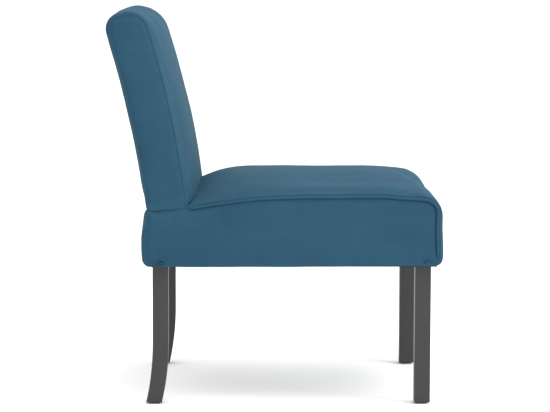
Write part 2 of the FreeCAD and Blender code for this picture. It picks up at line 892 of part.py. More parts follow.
def back_panel():
    return back_sheet(frame_inset, frame_inset + back_panel_thickness,
                      frame_inset + back_foot_radius, frame_inset + back_rail_top_gap,
                      rail_outer_x - back_panel_side_gap)


def back_panel_nails():
    nails = []
    for side in sides.values():
        for i in range(back_panel_nail_pairs):
            share = (i + 0.5) / back_panel_nail_pairs
            lean = blend(back_low_lean, back_high_lean, share)
            base = sweep_point(share)
            up = lean_vector(lean)
            head = Vector(side * rail_middle_x, base[0] - up[1] * frame_inset,
                          base[1] + up[0] * frame_inset)
            nails.append(flat_nail(head, Vector(0, -up[1], up[0])))
    return nails


# A point on the swept rear face, by its share of the sweep.
def sweep_point(share):
    foot, bend, top = back_line(0.0, 0.0)
    high = lean_vector(back_high_lean)
    low = lean_vector(back_low_lean)
    half_turn = math.radians(back_high_lean - back_low_lean) / 2
    reach = back_sweep_radius * math.tan(half_turn)
    start = (bend[0] - low[0] * reach, bend[1] - low[1] * reach)
    angle = math.radians(blend(back_low_lean, back_high_lean, share))
    low_angle = math.radians(back_low_lean)
    return (start[0] + back_sweep_radius * (math.cos(low_angle) - math.cos(angle)),
            start[1] + back_sweep_radius * (math.sin(angle) - math.sin(low_angle)))


# Corner points of the straps' course over the front faces of the top and bottom rails.
def strap_course(forward):
    points = []
    top_place, foot_place = back_rail_places()[:2]
    foot_steps = (strap_end_inset, back_rail_height)
    top_steps = (0.0, back_rail_height - strap_end_inset)
    for place, steps in ((foot_place, foot_steps), (top_place, top_steps)):
        base, lean, low, rear = place
        up = lean_vector(lean)
        for step in steps:
            out = rear + rail_thickness + forward
            points.append((base[0] + up[0] * (low + step) - up[1] * out,
                           base[1] + up[1] * (low + step) + up[0] * out))
    return points


def strap_positions():
    first = -(strap_count - 1) / 2 * strap_spacing
    return [first + i * strap_spacing for i in range(strap_count)]


def back_strap(x):
    rear_side = strap_course(0.0)
    front_side = strap_course(strap_thickness)
    return plain_prism(rear_side + front_side[::-1], x - strap_width / 2, x + strap_width / 2)


def strap_staples():
    staples = []
    top_place, foot_place = back_rail_places()[:2]
    for base, lean, low, rear in (top_place, foot_place):
        up = lean_vector(lean)
        out = rear + rail_thickness + strap_thickness
        step = low + back_rail_height / 2
        y = base[0] + up[0] * step - up[1] * out
        z = base[1] + up[1] * step + up[0] * out
        for x in strap_positions():
            for shift in (-strap_width / 4, strap_width / 4):
                staple = underside_staple(0, 0, True)
                staple.rotate(Vector(0, 0, 0), Vector(1, 0, 0), -90 - lean)
                staple.translate(Vector(x + shift, y, z))
                staples.append(staple)
    return staples


# Soft parts of the back

def back_foam():
    top, high = back_rail_places()[0][:2]
    up = lean_vector(high)
    course = strap_course(strap_thickness)
    low_end = (course[0][0] - lean_vector(back_low_lean)[0] * back_foam_reach,
               course[0][1] - back_foam_reach)
    top_gap = frame_inset + back_rail_top_gap
    front_top = (top[0] - up[0] * top_gap - up[1] * (back_seam_depth - frame_inset),
                 top[1] - up[1] * top_gap + up[0] * (back_seam_depth - frame_inset))
    rear_top = (top[0] - up[0] * top_gap + up[1] * back_foam_pocket,
                top[1] - up[1] * top_gap - up[0] * back_foam_pocket)
    rear_low = (back_foot_y + back_foam_pocket, low_end[1])
    hollow = plain_prism([low_end] + course + [front_top, rear_top, rear_low], -side_x, side_x)
    foam = back_block(covering).cut(hollow)
    foam = foam.cut(Part.makeCompound([back_stile(side) for side in sides.values()]))
    return foam.cut(both_battens(slot_clearance))


def back_shell(outer_inset, inner_inset):
    shell = back_block(outer_inset).cut(back_block(inner_inset))
    return shell.cut(both_battens(slot_clearance))


def back_covers():
    shell = back_shell(0.0, cover_thickness)
    seams = inset_corners(back_corners(1.0), seam_inset)
    drop = seam_inset + covering + back_foot_radius
    low = lean_vector(back_low_lean)
    feet = [(y - low[0] * drop, z - low[1] * drop, radius) for y, z, radius in seams[:2]]
    seams = feet + seams[2:]
    covers = {}
    for name, side in sides.items():
        prism = outline_prism(seams, side * rail_inner_x, side * (side_x + 1))
        covers[name] = shell.common(prism)
        shell = shell.cut(prism)
    rear_zone = back_sheet(-back_rear_bulge - 2, seam_inset, -covering * 3, seam_inset, side_x + 1)
    covers["rear"] = shell.common(rear_zone)
    covers["front"] = shell.cut(rear_zone)
    return covers


# Dust cover and staples under the seat

def dust_cover():
    half_width = rail_inner_x + dust_cover_lap
    sheet = box(-half_width, half_width, front_rail_inner_y - dust_cover_lap,
                rear_rail_inner_y + dust_cover_lap,
                seat_bottom_z - dust_cover_thickness, seat_bottom_z)
    for side in sides.values():
        for front_y in (front_leg_y, rear_leg_y):
            sheet = sheet.cut(box(side * (leg_inner_x - leg_hole_clearance),
                                  side * (rail_inner_x + leg_hole_clearance),
                                  front_y - leg_hole_clearance,
                                  front_y + leg_section + leg_hole_clearance,
                                  0, seat_bottom_z))
    return sheet


def underside_staple(x, y, along_x):
    half = staple_crown / 2
    crown = box(-half, half, -staple_wire / 2, staple_wire / 2, -staple_wire, 0)
    for end in (-half, half - staple_wire):
        crown = crown.fuse(box(end, end + staple_wire, -staple_wire / 2, staple_wire / 2,
                               -staple_wire, staple_depth))
    staple = crown.removeSplitter()
    if not along_x:
        staple.rotate(Vector(0, 0, 0), Vector(0, 0, 1), 90)
    staple.translate(Vector(x, y, 0))
    return staple


def underside_staples():
    staples = []
    z = Vector(0, 0, seat_bottom_z - dust_cover_thickness)
    edge = dust_cover_lap / 2
    along_front = int((2 * leg_inner_x) // staple_pitch)
    along_side = int((rear_leg_y - front_leg_y - leg_section) // staple_pitch)
    for i in range(along_front):
        x = (i - (along_front - 1) / 2) * staple_pitch
        for y in (front_rail_inner_y - edge, rear_rail_inner_y + edge):
            staples.append(underside_staple(x, y, True))
    middle_y = (front_leg_y + leg_section + rear_leg_y) / 2
    for i in range(along_side):
        y = middle_y + (i - (along_side - 1) / 2) * staple_pitch
        for side in sides.values():
            staples.append(underside_staple(side * (rail_inner_x + edge), y, False))
    for staple in staples:
        staple.translate(z)
    return staples


# Everything, each piece cut to let its fasteners through

def save(name, shape):
    shape.exportStep("parts/" + name + ".step")
    print(name, len(shape.Solids), "solids,", round(shape.Volume / 1000, 1), "cm3")


def main():
    bolts = Part.makeCompound(frame_bolts())
    holes = Part.makeCompound(bolt_holes())
    washers = Part.makeCompound(bolt_washers())
    nuts = Part.makeCompound(tee_nuts())
    nails = Part.makeCompound(glide_nails())
    dowels = Part.makeCompound(frame_dowels())
    screws = Part.makeCompound(deck_screws())
    side_screws = Part.makeCompound(batten_screws())
    staples = Part.makeCompound(underside_staples())

    for name, side in sides.items():
        save("front_" + name + "_leg", front_leg(side).cut(holes).cut(nails))
        save("rear_" + name + "_leg", rear_leg(side).cut(holes).cut(nails))
        save("front_" + name + "_glide", glide(side, True).cut(nails))
        save("rear_" + name + "_glide", glide(side, False).cut(nails))
    save("glide_nails", nails)
    save("frame_bolts", bolts)
    save("bolt_washers", washers)
    save("tee_nuts", nuts)

    clip_nails = Part.makeCompound([clip_nail(*place) for place in clip_places()])
    for name, side in sides.items():
        rail = side_rail(side).cut(holes).cut(nuts).cut(dowels).cut(screws).cut(staples)
        save("seat_" + name + "_rail", rail)
    save("seat_front_rail", front_rail().cut(dowels).cut(clip_nails).cut(staples))
    save("seat_rear_rail", rear_rail().cut(dowels).cut(screws).cut(staples))
    save("seat_cross_rail", cross_rail().cut(dowels).cut(clip_nails))
    save("frame_dowels", dowels)
    save("rear_deck_board", deck_board().cut(both_battens(slot_clearance)).cut(screws))
    save("deck_screws", screws)

    for i, x in enumerate(spring_positions()):
        save("seat_spring_" + str(i + 1), zigzag_spring(x))
    save("spring_clips", Part.makeCompound([spring_clip(*place) for place in clip_places()]).cut(clip_nails))
    save("clip_nails", clip_nails)
    save("insulator_felt", felt_pad())
    save("seat_foam", seat_foam())

    piping = {name: seat_piping(side) for name, side in sides.items()}
    both_piping = Part.makeCompound(list(piping.values()))
    for name, tube in piping.items():
        save("seat_piping_" + name, tube)
    save("seat_wadding", seat_shell(cover_thickness, covering).cut(both_piping).cut(staples))
    for name, cover in seat_covers(both_piping).items():
        save("seat_cover_" + name, cover.cut(staples))
    save("dust_cover", dust_cover().cut(staples))
    save("underside_staples", staples)

    rail_names = ("top", "bottom", "middle")
    panel_nails = Part.makeCompound(back_panel_nails())
    strap_wires = Part.makeCompound(strap_staples())
    for name, side in sides.items():
        save("back_" + name + "_stile", back_stile(side).cut(dowels).cut(side_screws).cut(panel_nails))
        save("back_" + name + "_batten", batten_shape(side, 0.0).cut(holes).cut(side_screws).cut(dowels))
    for index, name in enumerate(rail_names):
        rail = back_rail(index).cut(dowels).cut(both_battens(0.0)).cut(strap_wires)
        save("back_" + name + "_rail", rail)
    save("batten_screws", side_screws)
    save("back_panel", back_panel().cut(panel_nails))
    save("back_panel_nails", panel_nails)
    for i, x in enumerate(strap_positions()):
        save("back_strap_" + str(i + 1), back_strap(x).cut(strap_wires))
    save("strap_staples", strap_wires)
    save("back_foam", back_foam())
    save("back_wadding", back_shell(cover_thickness, covering))
    for name, cover in back_covers().items():
        save("back_cover_" + name, cover)


main()
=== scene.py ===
import json
import math
import time

import bmesh
import bpy
import numpy as np
from mathutils import Matrix, Vector, noise
from mathutils.bvhtree import BVHTree
from mathutils.kdtree import KDTree


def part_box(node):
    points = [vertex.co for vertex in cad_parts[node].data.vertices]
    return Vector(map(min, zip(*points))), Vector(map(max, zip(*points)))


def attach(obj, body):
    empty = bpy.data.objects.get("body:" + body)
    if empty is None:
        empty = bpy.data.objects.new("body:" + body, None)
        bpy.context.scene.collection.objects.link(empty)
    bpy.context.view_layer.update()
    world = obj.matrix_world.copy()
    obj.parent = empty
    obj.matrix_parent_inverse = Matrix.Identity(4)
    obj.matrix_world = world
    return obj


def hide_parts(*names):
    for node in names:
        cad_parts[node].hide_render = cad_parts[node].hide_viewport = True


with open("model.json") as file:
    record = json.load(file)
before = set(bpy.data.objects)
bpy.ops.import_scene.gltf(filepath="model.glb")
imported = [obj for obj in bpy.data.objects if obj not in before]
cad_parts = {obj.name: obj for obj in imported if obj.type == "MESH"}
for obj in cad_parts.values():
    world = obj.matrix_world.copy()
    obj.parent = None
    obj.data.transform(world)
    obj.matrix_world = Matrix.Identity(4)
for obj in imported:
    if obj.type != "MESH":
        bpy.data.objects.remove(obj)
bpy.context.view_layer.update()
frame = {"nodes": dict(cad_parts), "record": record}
print("frame loaded,", len(frame["nodes"]), "nodes")

bodyName = "root"
sideNames = {"Right": -1, "Left": 1}   # the sitter's right is -X


# Everyday helpers

def shadeSmooth(mesh):
    mesh.polygons.foreach_set("use_smooth", [True] * len(mesh.polygons))


def editMesh(piece, change):
    bm = bmesh.new()
    bm.from_mesh(piece.data)
    change(bm)
    bm.to_mesh(piece.data)
    bm.free()


def faceOutwards(bm):
    bmesh.ops.recalc_face_normals(bm, faces=bm.faces)


def dropLoosePoints(bm):
    bmesh.ops.delete(bm, geom=[v for v in bm.verts if not v.link_faces], context="VERTS")


def linkMesh(name, verts, faces):
    mesh = bpy.data.meshes.new(name)
    mesh.from_pydata([tuple(map(float, v)) for v in verts], [], [tuple(map(int, f)) for f in faces])
    mesh.validate()
    piece = bpy.data.objects.new(name, mesh)
    bpy.context.scene.collection.objects.link(piece)
    editMesh(piece, faceOutwards)
    shadeSmooth(mesh)
    return piece


def rowsOf(items, field):
    rows = np.zeros(len(items) * 3)
    items.foreach_get(field, rows)
    return rows.reshape(-1, 3)


def coordsOf(piece):
    return rowsOf(piece.data.vertices, "co")


def normalsOf(piece):
    return rowsOf(piece.data.vertex_normals, "vector")


def setCoords(piece, co):
    piece.data.vertices.foreach_set("co", np.ascontiguousarray(co, dtype=np.float32).ravel())
    piece.data.update()


# Puts a modifier's result into the piece's own mesh.
def applyModifier(piece, kind, **values):
    modifier = piece.modifiers.new(kind.lower(), kind)
    for key, value in values.items():
        setattr(modifier, key, value)
    bpy.context.view_layer.update()
    shaped = piece.evaluated_get(bpy.context.evaluated_depsgraph_get())
    mesh = bpy.data.meshes.new_from_object(shaped)
    piece.modifiers.remove(modifier)
    old = piece.data
    piece.data = mesh
    mesh.name = piece.name
    bpy.data.meshes.remove(old)
    shadeSmooth(mesh)


# Ties a piece to its body and hides the nodes that it stands for.
def place(piece, slotName, *nodes):
    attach(piece, bodyName)
    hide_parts(*nodes)


# The faces between two rings, each given as its points' numbers.
def ringFaces(first, second):
    faces = []
    for j in range(len(first)):
        after = (j + 1) % len(first)
        faces.append((first[j], first[after], second[after], second[j]))
    return faces


# Goes softly from 0 at low to 1 at high.
def eased(value, low, high):
    share = np.clip((value - low) / (high - low), 0.0, 1.0)
    return share * share * (3 - 2 * share)


# Building blocks of the finishes. A grain is (size per metre, detail, roughness) and may end with
# a stretch and a turn. Edges are the two levels of a grain between which one colour becomes the
# other. A relief is (depth in metres, strength).

def nodeMaterial(name):
    material = bpy.data.materials.new(name)
    material.use_nodes = True
    tree = material.node_tree
    shader = tree.nodes["Principled BSDF"]
    place3 = tree.nodes.new("ShaderNodeTexCoord").outputs["Object"]
    return material, tree, shader, place3


def grainNode(tree, place3, size, detail, rough, stretch=(1, 1, 1), turn=(0, 0, 0)):
    mapping = tree.nodes.new("ShaderNodeMapping")
    mapping.inputs["Scale"].default_value = stretch
    mapping.inputs["Rotation"].default_value = turn
    tree.links.new(place3, mapping.inputs["Vector"])
    grain = tree.nodes.new("ShaderNodeTexNoise")
    grain.inputs["Scale"].default_value = size
    grain.inputs["Detail"].default_value = detail
    grain.inputs["Roughness"].default_value = rough
    tree.links.new(mapping.outputs["Vector"], grain.inputs["Vector"])
    return grain.outputs["Fac"]


def toneNode(tree, grain, edges, dark, light):
    ramp = tree.nodes.new("ShaderNodeValToRGB")
    for item, position, colour in zip(ramp.color_ramp.elements, edges, (dark, light)):
        item.position = position
        item.color = (*colour, 1.0)
    tree.links.new(grain, ramp.inputs["Fac"])
    return ramp.outputs["Color"]


def mixColours(tree, amount, first, second, mode="MIX"):
    mix = tree.nodes.new("ShaderNodeMix")
    mix.data_type = "RGBA"
    mix.blend_type = mode
    mix.inputs["Factor"].default_value = amount
    tree.links.new(first, mix.inputs["A"])
    tree.links.new(second, mix.inputs["B"])
    return mix.outputs["Result"]


def rangeNode(tree, grain, low, high):
    spread = tree.nodes.new("ShaderNodeMapRange")
    spread.inputs["To Min"].default_value = low
    spread.inputs["To Max"].default_value = high
    tree.links.new(grain, spread.inputs["Value"])
    return spread.outputs["Result"]


def addReliefs(tree, shader, reliefs):
    normal = None
    for grain, (depth, strength) in reliefs:
        bump = tree.nodes.new("ShaderNodeBump")
        bump.inputs["Distance"].default_value = depth
        bump.inputs["Strength"].default_value = strength
        tree.links.new(grain, bump.inputs["Height"])
        if normal is not None:
            tree.links.new(normal, bump.inputs["Normal"])
        normal = bump.outputs["Normal"]
    tree.links.new(normal, shader.inputs["Normal"])


white = (1.0, 1.0, 1.0)


# Velvet

velvetLook = {
    "pile": (0.0165, 0.0556, 0.0922),     # the pile seen straight on
    "brushed": (0.0200, 0.0650, 0.1052),  # where it is stroked towards the light
    "darkest": 0.93,                      # of the pile, in the streaks
    "lightest": 1.05,                     # of the brushed pile, in the streaks
    "streakShare": 0.4,
    "betweenTufts": (0.86, 0.86, 0.87),
    "tuftShare": 0.8,
    "paintedSeamShade": (0.78, 0.78, 0.78),        # painted shade on the pile down in the seams and other hollows
    "seamEdges": (0.40, 0.49),            # how hollow the cover is there
    "roughness": (0.72, 0.86),
    "gloss": 0.08,
    "sheen": 0.03,
    "sheenTint": (0.24, 0.70, 0.80, 1.0),
    "sheenRoughness": 0.35,
    "patches": (7.0, 4.0, 0.55),
    "patchEdges": (0.36, 0.66),
    "streaks": (26.0, 3.0, 0.6, (1.0, 0.35, 1.0), (0.0, 0.35, 0.2)),
    "streakEdges": (0.3, 0.7),
    "weave": (380.0, 2.0, 0.6),
    "tufts": (1900.0, 1.0, 0.5),
    "tuftEdges": (0.25, 0.75),
    "patchRelief": (0.004, 0.06),
    "weaveRelief": (0.0006, 0.25),
    "tuftRelief": (0.00022, 0.45),
}


def velvet():
    look = velvetLook
    material, tree, shader, place3 = nodeMaterial("tealVelvet")
    patches = grainNode(tree, place3, *look["patches"])
    streaks = grainNode(tree, place3, *look["streaks"])
    tufts = grainNode(tree, place3, *look["tufts"])
    weave = grainNode(tree, place3, *look["weave"])
    hollows = tree.nodes.new("ShaderNodeNewGeometry").outputs["Pointiness"]
    darkest = tuple(value * look["darkest"] for value in look["pile"])
    lightest = tuple(value * look["lightest"] for value in look["brushed"])
    stroked = toneNode(tree, patches, look["patchEdges"], look["pile"], look["brushed"])
    streaked = toneNode(tree, streaks, look["streakEdges"], darkest, lightest)
    tufted = toneNode(tree, tufts, look["tuftEdges"], look["betweenTufts"], white)
    # painted shade: the pile is darkened where the cover is hollow, in the seams and creases
    shadedSeams = toneNode(tree, hollows, look["seamEdges"], look["paintedSeamShade"], white)
    pile = mixColours(tree, look["streakShare"], stroked, streaked)
    pile = mixColours(tree, look["tuftShare"], pile, tufted, "MULTIPLY")
    pile = mixColours(tree, 1.0, pile, shadedSeams, "MULTIPLY")
    tree.links.new(pile, shader.inputs["Base Color"])
    tree.links.new(rangeNode(tree, streaks, *look["roughness"]), shader.inputs["Roughness"])
    shader.inputs["Specular IOR Level"].default_value = look["gloss"]
    shader.inputs["Sheen Weight"].default_value = look["sheen"]
    shader.inputs["Sheen Roughness"].default_value = look["sheenRoughness"]
    shader.inputs["Sheen Tint"].default_value = look["sheenTint"]
    addReliefs(tree, shader, [(patches, look["patchRelief"]), (weave, look["weaveRelief"]),
                              (tufts, look["tuftRelief"])])
    return material


# Stained and plain wood

woodLook = {
    "rings": (9.0, 3.0, 0.5),
    "ringEdges": (0.35, 0.65),
    "fibres": (60.0, 5.0, 0.65),
    "fibreEdges": (0.3, 0.72),
    "fibreShare": 0.55,
    "pores": (260.0, 2.0, 0.6),
    "poreEdges": (0.34, 0.46),
    "poreShade": (0.62, 0.62, 0.62),
    "poreShare": 0.35,
    "smoother": 0.07,                     # the roughness runs from rough - smoother
    "rougher": 0.1,                       # to rough + rougher
    "coatRoughness": 0.32,
    "fibreRelief": (0.0005, 0.22),
    "poreRelief": (0.0003, 0.3),
}


def wood(name, dark, light, rough, alongGrain, coat=0.0):
    look = woodLook
    material, tree, shader, place3 = nodeMaterial(name)
    rings = grainNode(tree, place3, *look["rings"], alongGrain)
    fibres = grainNode(tree, place3, *look["fibres"], alongGrain)
    pores = grainNode(tree, place3, *look["pores"], alongGrain)
    ringed = toneNode(tree, rings, look["ringEdges"], dark, light)
    fibrous = toneNode(tree, fibres, look["fibreEdges"], dark, light)
    porous = toneNode(tree, pores, look["poreEdges"], look["poreShade"], white)
    colour = mixColours(tree, look["fibreShare"], ringed, fibrous)
    colour = mixColours(tree, look["poreShare"], colour, porous, "MULTIPLY")
    tree.links.new(colour, shader.inputs["Base Color"])
    spread = rangeNode(tree, fibres, rough - look["smoother"], rough + look["rougher"])
    tree.links.new(spread, shader.inputs["Roughness"])
    shader.inputs["Coat Weight"].default_value = coat
    shader.inputs["Coat Roughness"].default_value = look["coatRoughness"]
    addReliefs(tree, shader, [(fibres, look["fibreRelief"]), (pores, look["poreRelief"])])
    return material


# Springs, bolts, nails and staples

metalLook = {
    "clouds": (90.0, 4.0, 0.6),
    "cloudEdges": (0.35, 0.62),
    "dull": 0.72,                         # of the colour, in the clouds
    "marks": (1260.0, 2.0, 0.5),
    "markRelief": (0.0001, 0.3),
    "smoother": 0.1,
    "rougher": 0.12,
}


def metal(name, colour, rough):
    look = metalLook
    material, tree, shader, place3 = nodeMaterial(name)
    clouds = grainNode(tree, place3, *look["clouds"])
    marks = grainNode(tree, place3, *look["marks"])
    dull = tuple(value * look["dull"] for value in colour)
    clouded = toneNode(tree, clouds, look["cloudEdges"], dull, colour)
    tree.links.new(clouded, shader.inputs["Base Color"])
    spread = rangeNode(tree, marks, rough - look["smoother"], rough + look["rougher"])
    tree.links.new(spread, shader.inputs["Roughness"])
    shader.inputs["Metallic"].default_value = 1.0
    addReliefs(tree, shader, [(marks, look["markRelief"])])
    return material


# Cloth, felt, foam and other dull stuff

clothLook = {
    "cloudDetail": (4.0, 0.6),
    "fibreDetail": (3.0, 0.65),
    "edges": (0.3, 0.7),
    "dim": 0.72,                          # shares of the colour
    "lit": 1.12,
    "fibreShare": 0.5,
    "spread": 0.08,                       # of the roughness, either way
    "cloudRelief": (0.002, 0.15),
    "fibreStrength": 0.6,
}


def cloth(name, colour, threads, depth, rough, sheen, patches=12.0):
    look = clothLook
    material, tree, shader, place3 = nodeMaterial(name)
    clouds = grainNode(tree, place3, patches, *look["cloudDetail"])
    fibres = grainNode(tree, place3, threads, *look["fibreDetail"])
    dim = tuple(value * look["dim"] for value in colour)
    lit = tuple(min(value * look["lit"], 1.0) for value in colour)
    clouded = toneNode(tree, clouds, look["edges"], dim, lit)
    fibrous = toneNode(tree, fibres, look["edges"], dim, lit)
    mixed = mixColours(tree, look["fibreShare"], clouded, fibrous)
    tree.links.new(mixed, shader.inputs["Base Color"])
    spread = rangeNode(tree, fibres, rough - look["spread"], min(rough + look["spread"], 1.0))
    tree.links.new(spread, shader.inputs["Roughness"])
    shader.inputs["Sheen Weight"].default_value = sheen
    addReliefs(tree, shader, [(clouds, look["cloudRelief"]), (fibres, (depth, look["fibreStrength"]))])
    return material


velvetFinish = velvet()
finishes = {
    "velvet": velvetFinish,
    "leg_wood": wood("blackStainedBeech", (0.0085, 0.0083, 0.0098), (0.0165, 0.0160, 0.0180), 0.46,
                     (1.0, 1.0, 0.045), 0.04),
    "glide_plastic": cloth("mattNylon", (0.03, 0.03, 0.03), 900.0, 0.00005, 0.55, 0.0),
    "dust_cloth": cloth("blackDustCloth", (0.012, 0.012, 0.013), 700.0, 0.0003, 0.92, 0.15, 30.0),
    "frame_wood": wood("planedBeech", (0.36, 0.22, 0.11), (0.55, 0.38, 0.22), 0.6, (0.05, 1.0, 1.0)),
    "plywood": wood("birchPlywood", (0.47, 0.33, 0.19), (0.66, 0.50, 0.31), 0.62, (0.08, 1.0, 1.0)),
    "hardboard": cloth("brownHardboard", (0.20, 0.115, 0.06), 500.0, 0.0002, 0.7, 0.0),
    "foam": cloth("creamFoam", (0.78, 0.70, 0.46), 420.0, 0.0008, 0.95, 0.1),
    "wadding": cloth("whiteWadding", (0.80, 0.80, 0.78), 160.0, 0.002, 0.95, 0.3),
    "felt": cloth("greyFelt", (0.22, 0.215, 0.21), 330.0, 0.0008, 0.95, 0.3),
    "webbing": cloth("blackWebbing", (0.025, 0.025, 0.026), 620.0, 0.0005, 0.85, 0.2),
    "spring_steel": metal("springSteel", (0.30, 0.30, 0.31), 0.42),
    "zinc_steel": metal("zincPlate", (0.62, 0.62, 0.64), 0.34),
}
slotOf = {item["node"]: item["material_slot"] for item in frame["record"]["subparts"]}
for nodeName, node in frame["nodes"].items():
    finish = finishes[slotOf[nodeName]]
    if not node.data.materials:
        node.data.materials.append(finish)
    for materialSlot in node.material_slots:
        materialSlot.material = finish
print("finishes ready")


# Seat and back cushions, traced from the covers of the frame. Places in a side view are (y, z).

seat = {
    "covers": ["seat_cover_right", "seat_cover_left", "seat_cover_rear", "seat_cover_top"],
    "fillings": ["seat_wadding", "seat_foam"],
    "middle": (-0.035, 0.348),           # the outlines are traced round this place
    "around": 300,                       # points on each outline
    "across": 80,                        # outlines across the flat of the width
    "edgeRadius": 0.009,
    # degrees round the rounded edge where outlines are taken, closest where the seams run
    "edgeTurns": (0, 14, 26, 34, 39, 44, 49, 54, 59, 64, 69, 74, 79, 83.5, 88.4),
    "seamInset": [(-0.320, 0.0086), (-0.300, 0.0068), (-0.28, 0.0056), (0.15, 0.0058),
                  (0.18, 0.0075)],       # (y, how far inside the outline the seams run)
    "seamFrom": 0.2810,                  # the seams end above this height
    "pushes": [((0.250, 0.380), 0.014, (0.0030, 0.0065)),     # fuller over the rear rail
               ((-0.297, 0.389), 0.031, (-0.0046, 0.0025)),   # and where the top turns down in front
               ((-0.327, 0.330), 0.060, (0.0024, 0.0)),
               ((-0.300, 0.2745), 0.160, (0.0, 0.0018)),      # the hem rises a little to the front
               ((0.246, 0.276), 0.007, (0.0, -0.0014))],
    "edgeLift": [(-0.318, 0.0), (-0.280, 0.0045), (-0.220, 0.0068), (-0.060, 0.0066), (0.010, 0.0040),
                 (0.080, 0.0)],          # (y, how far the long edges of the top are lifted)
    "liftFrom": (0.15, 0.24),            # nothing at the first half width, all at the second
    "liftAbove": (0.355, 0.385),         # and the same for the height
    "panelRings": (0.0012, 0.0032),      # flat rings of the side panels, inside the rounded edge
    "corner": (0.2585, 0.386),           # the side grids start here
    "short": 30,                         # points along their short sides
    "openBelow": True,
    "lowerRadius": 0.014,                # of the corners beside the flat underside
    "heldBelow": 0.003,                  # up to this height over the seat's underside it can't swell
    "fullness": 0.0025,                  # the most that the filling presses out
    "seam": {"grooveDepth": 0.0017, "grooveWidth": 0.0034, "dipDepth": 0.0005, "dipWidth": 0.008,
             "gatherDepth": 0.0005, "gatherSize": 0.020, "gatherReach": 0.012},
    "restless": {"slowSize": 0.16, "slowDepth": 0.0014, "quickSize": 0.05, "quickDepth": 0.0004},
}

back = {
    "covers": ["back_cover_right", "back_cover_left", "back_cover_rear", "back_cover_front"],
    "fillings": ["back_wadding", "back_foam"],
    "middle": (0.243, 0.565),
    "around": 280,
    "across": 80,
    "edgeRadius": 0.009,
    "edgeTurns": (0, 20, 40, 56, 68, 76, 80.4, 85, 88.4),
    "seamInset": [(0.0, 0.0075), (0.3, 0.0075)],
    "seamFrom": 0.392,
    "pushes": [((0.180, 0.385), 0.055, (0.0, -0.0045)),       # settled into the seat
               ((0.270, 0.768), 0.055, (0.0, -0.0010)),       # rounder over the top
               ((0.326, 0.742), 0.036, (-0.0020, -0.0004))],
    "panelRings": (0.0012, 0.0032),
    "corner": (0.2500, 0.380),
    "short": 20,
    "openBelow": False,
    "heldBelow": 0.14,
    "fullness": 0.0022,
    "seam": {"grooveDepth": 0.0019, "grooveWidth": 0.0028, "dipDepth": 0.0009, "dipWidth": 0.010,
             "gatherDepth": 0.0006, "gatherSize": 0.018, "gatherReach": 0.012},
    "restless": {"slowSize": 0.17, "slowDepth": 0.0014, "quickSize": 0.05, "quickDepth": 0.0004},
}

tracing = {
    "rays": 1440,                        # round the outline that sets the spacing of the points
    "evenAt": 0.72,                      # it lies at this share of the half width
    "relaxTurns": 400,                   # that even out the side grids
}


def coverTree(nodes):
    bm = bmesh.new()
    for name in nodes:
        bm.from_mesh(frame["nodes"][name].data)
    tree = BVHTree.FromBMesh(bm)
    bm.free()
    return tree


# Gives a function that traces the outline of the covers at one x, from outside towards the middle,
# at the given angles. An open underside is closed by a flat.
def outlineTracer(spec, low, high):
    tree = coverTree(spec["covers"])
    middle = spec["middle"]

    def trace(x, angles):
        ring = []
        for angle in angles:
            out = Vector((0.0, math.cos(angle), math.sin(angle)))
            hit = tree.ray_cast(Vector((x, *middle)) + out, -out)[0]
            point = (hit.y, hit.z)
            if spec["openBelow"] and out.z < 0:
                flatY = middle[0] + out.y * (low.z - middle[1]) / out.z
                if low.y + spec["lowerRadius"] < flatY < high.y - spec["lowerRadius"]:
                    point = (flatY, low.z)
            ring.append(point)
        return np.array(ring)

    return trace


# Angles that give evenly spaced points on the outline at one x.
def evenAngles(trace, x, spec):
    rays = tracing["rays"]
    ring = trace(x, 2 * math.pi * np.arange(rays) / rays - math.pi / 2)
    closed = np.vstack([ring, ring[:1]])
    lengths = np.concatenate([[0.0], np.cumsum(np.hypot(*np.diff(closed, axis=0).T))])
    wanted = np.arange(spec["around"]) * lengths[-1] / spec["around"]
    y = np.interp(wanted, lengths, closed[:, 0])
    z = np.interp(wanted, lengths, closed[:, 1])
    return np.arctan2(z - spec["middle"][1], y - spec["middle"][0])


# Where outlines are taken: evenly across the width, and closer round the two edges.
def stationsOf(spec, run):
    inner = [run * (2 * k / spec["across"] - 1) for k in range(1, spec["across"])]
    edge = [run + spec["edgeRadius"] * math.sin(math.radians(turn)) for turn in spec["edgeTurns"]]
    return [-x for x in reversed(edge)] + inner + edge


def ringInwards(ring, distance):
    ahead = np.roll(ring, -1, axis=0) - np.roll(ring, 1, axis=0)
    ahead /= np.linalg.norm(ahead, axis=1)[:, None]
    return ring + distance * np.stack([-ahead[:, 1], ahead[:, 0]], axis=1)


# A grid that fills a ring and has its four corners on it. Beside the grid comes a table with the
# ring's point that each point of its border is, and -1 inside.
def fillRing(ring, firstCorner, short):
    count = len(ring)
    long = (count - 2 * short) // 2
    order = (firstCorner + np.arange(count + 1)) % count
    index = -np.ones((long + 1, short + 1), int)
    index[:, 0] = order[:long + 1]
    index[long] = order[long:long + short + 1]
    index[:, short] = order[long + short:2 * long + short + 1][::-1]
    index[0] = order[2 * long + short:][::-1]
    first, last = ring[index[:, 0]], ring[index[:, short]]
    near, far = ring[index[0]], ring[index[long]]
    u = np.linspace(0, 1, long + 1)[:, None, None]
    v = np.linspace(0, 1, short + 1)[None, :, None]
    grid = ((1 - v) * first[:, None] + v * last[:, None] + (1 - u) * near[None] + u * far[None]
            - (1 - u) * (1 - v) * first[0] - u * (1 - v) * first[-1] - (1 - u) * v * last[0]
            - u * v * last[-1])
    for turn in range(tracing["relaxTurns"]):
        grid[1:-1, 1:-1] = (grid[2:, 1:-1] + grid[:-2, 1:-1] + grid[1:-1, 2:] + grid[1:-1, :-2]) / 4
    return grid, index


